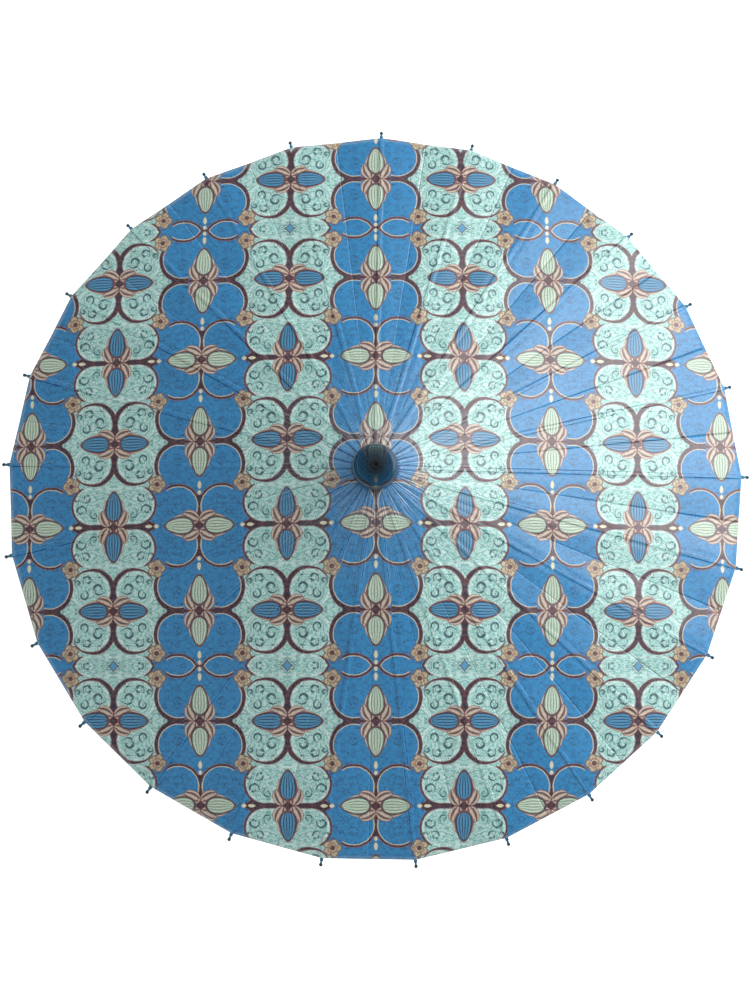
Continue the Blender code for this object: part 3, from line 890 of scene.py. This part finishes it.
def turned_piece(name, profile, material, steps=128):
    """A closed profile of (radius, height) points turned about Z; both ends are on the axis."""
    shape = bmesh.new()
    points = [shape.verts.new((radius, 0, height)) for radius, height in profile]
    edges = [shape.edges.new(pair) for pair in zip(points, points[1:])]
    bmesh.ops.spin(
        shape,
        geom=points + edges,
        axis=(0, 0, 1),
        cent=(0, 0, 0),
        steps=steps,
        angle=2 * math.pi,
        use_merge=True,
    )
    bmesh.ops.remove_doubles(shape, verts=shape.verts, dist=0.001 * MM)
    bmesh.ops.recalc_face_normals(shape, faces=shape.faces)
    piece = new_piece(name, shape, [material])
    piece.data.set_sharp_from_angle(angle=math.radians(40))
    return piece


def arc(centre, radius, first, last, steps):
    angles = [math.radians(first + (last - first) * i / steps) for i in range(steps + 1)]
    return [(centre[0] + radius * math.cos(a), centre[1] + radius * math.sin(a)) for a in angles]


def build_cap():
    """The turned cap, finely rounded, with shallow lathe grooves on its crown and side."""
    low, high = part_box("finial_cap")
    radius = high.x
    crown = high.z
    edge = 5 * MM
    profile = [(0, crown - 2 * MM), (1.5 * MM, crown - 1.9 * MM)]
    profile += arc((3.4 * MM, crown - 1 * MM), 1 * MM, 200, 90, 6)
    for groove in range(1, 7):
        middle = radius * (0.16 + 0.1 * groove)
        level = crown - 1.6 * MM * (middle / radius) ** 2
        profile += [(middle - 0.5 * MM, level), (middle, level - 0.12 * MM), (middle + 0.5 * MM, level)]
    profile += arc((radius - edge, crown - 2.2 * MM - edge), edge, 72, 0, 10)
    for groove in range(3):
        level = crown - 10 * MM - groove * 3.2 * MM
        profile += [(radius, level + 0.4 * MM), (radius - 0.2 * MM, level), (radius, level - 0.4 * MM)]
    profile += [(radius, low.z + 2 * MM), (radius - 0.4 * MM, low.z + 0.4 * MM)]
    profile += [(radius - 1.2 * MM, low.z)]
    bore = 7.2 * MM
    ceiling = crown - 11 * MM
    profile += [(8 * MM, low.z), (bore, low.z + 1 * MM), (bore, ceiling), (0, ceiling)]
    cap = turned_piece("turned_cap", profile, cap_material())
    store_vectors(cap.data, "print", [print_point(v.co) for v in cap.data.vertices])
    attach(cap, "frame")
    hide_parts("finial_cap")


def build_handle(material):
    """The turned grip, with two beads under its mouth and a rounded foot."""
    low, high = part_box("handle")
    radius = high.x
    top = high.z
    socket = 6.9 * MM
    socket_floor = 25.2 * MM
    bead = 2 * MM
    waist = top - 12 * MM
    belly_foot = 6 * MM
    foot_round = 3.2 * MM
    profile = [(0, socket_floor), (socket, socket_floor)]
    profile += [(socket, top - 1 * MM), (socket + 0.6 * MM, top)]
    profile += [(radius - 3 * MM, top)]
    profile += arc((radius - 3 * MM, top - 2 * MM), bead, 80, -80, 8)
    profile += arc((radius - 3.4 * MM, top - 6.4 * MM), bead, 80, -80, 8)
    profile += [(radius - 2.6 * MM, top - 10 * MM)]
    for step in range(1, 21):
        share = step / 20
        height = waist + (belly_foot - waist) * share
        swell = math.sin(share * math.pi * 0.62) ** 1.2
        profile.append((radius - 2.4 * MM + 2.35 * MM * min(swell, 1), height))
    profile += arc((radius - 3.6 * MM, foot_round), foot_round, 0, -90, 8)
    profile += [(0, 0)]
    handle = turned_piece("turned_handle", profile, material, 96)
    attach(handle, "frame")
    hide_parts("handle")


def dress_cad_nodes():
    """Materials for the nodes that are shown as they are."""
    ribs = split_bamboo("split_bamboo_ribs", "c79a5c", "a87a42", corner_radius - 1 * MM)
    stretchers = split_bamboo("split_bamboo_stretchers", "d0a567", "b2854c")
    hub = turned_wood("hub_wood", "7a5231", "4b2f1a", 0.3)
    looks = {
        "rib_": ribs,
        "stretcher_": stretchers,
        "shaft": round_bamboo(),
        "upper_hub": hub,
        "runner": hub,
        "spring_catch": stretchers,
        "hub_thread": twisted_thread(),
        "runner_thread": twisted_thread(),
    }
    for name, node in frame["nodes"].items():
        for start in sorted(looks, key=len):
            if name.startswith(start):
                node.data.materials.clear()
                node.data.materials.append(looks[start])
        node.data.shade_smooth()
        node.data.set_sharp_from_angle(angle=math.radians(35))


# Stage ------------------------------------------------------------------------------------


def add_floor():
    """A pale floor, a little lit from within, so that it stays near white under the canopy."""
    material, tree, shader = new_material("pale_floor")
    tint = grain(rest_position(tree), 3.0)
    pale = mix(tint, linear("fafafa"), linear("f6f6f6"))
    plug(tree, shader.inputs["Base Color"], pale)
    plug(tree, shader.inputs["Emission Color"], pale)
    shader.inputs["Emission Strength"].default_value = FLOOR_GLOW
    shader.inputs["Roughness"].default_value = 0.9
    shape = bmesh.new()
    bmesh.ops.create_grid(shape, x_segments=1, y_segments=1, size=20)
    new_piece("floor", shape, [material])


def add_light(name, position, size, power, glossy):
    """A round soft light aimed at the canopy. Only a glossy one shows in reflections."""
    data = bpy.data.lights.new(name, "AREA")
    data.shape = "DISK"
    data.size = size
    data.energy = power
    light = bpy.data.objects.new(name, data)
    target = Vector((0, 0, rim_height))
    light.location = position
    light.rotation_euler = (target - Vector(position)).to_track_quat("-Z", "Y").to_euler()
    light.visible_camera = False
    light.visible_glossy = glossy
    bpy.context.scene.collection.objects.link(light)


def add_world():
    """White to the eye, softer on surfaces, and dim in gloss, so that only the key veils the paper."""
    world = bpy.data.worlds.new("studio")
    world.use_nodes = True
    tree = world.node_tree
    path = tree.nodes.new("ShaderNodeLightPath")
    seen = Field(tree, path.outputs["Is Camera Ray"])
    scattered = Field(tree, path.outputs["Is Diffuse Ray"])
    background = tree.nodes["Background"]
    background.inputs["Color"].default_value = (1, 1, 1, 1)
    strength = seen * (WORLD_SEEN - WORLD_IN_GLOSS) + scattered * (WORLD_ON_PAPER - WORLD_IN_GLOSS)
    plug(tree, background.inputs["Strength"], strength + WORLD_IN_GLOSS)
    bpy.context.scene.world = world


def add_lights():
    """A wide soft key on the right, whose gloss veils that half, a smaller sun, and a fill opposite."""
    add_light("key", (2.4, 1.3, 2.5), 3.6, 75, True)
    add_light("sun", (2.4, 0.9, 1.5), 0.35, 36, False)
    add_light("fill", (-1.2, -1.6, 3.4), 1.2, 15, False)
    add_world()


def add_camera():
    data = bpy.data.cameras.new("camera")
    data.lens = CAMERA_LENS
    data.shift_y = CAMERA_SHIFT
    camera = bpy.data.objects.new("camera", data)
    back = Vector((0, -math.cos(VIEW_ELEVATION), math.sin(VIEW_ELEVATION)))
    camera.location = Vector((0, 0, rim_height)) + back * CAMERA_DISTANCE
    camera.rotation_euler = (-back).to_track_quat("-Z", "Y").to_euler()
    bpy.context.scene.collection.objects.link(camera)
    bpy.context.scene.camera = camera


bpy.context.scene.view_settings.view_transform = "Standard"
dress_cad_nodes()
build_canopy()
build_joint_threads(twisted_thread())
build_cap()
build_handle(turned_wood("handle_wood", "6b3a22", "3f1f12", 0.6))
add_floor()
add_lights()
add_camera()
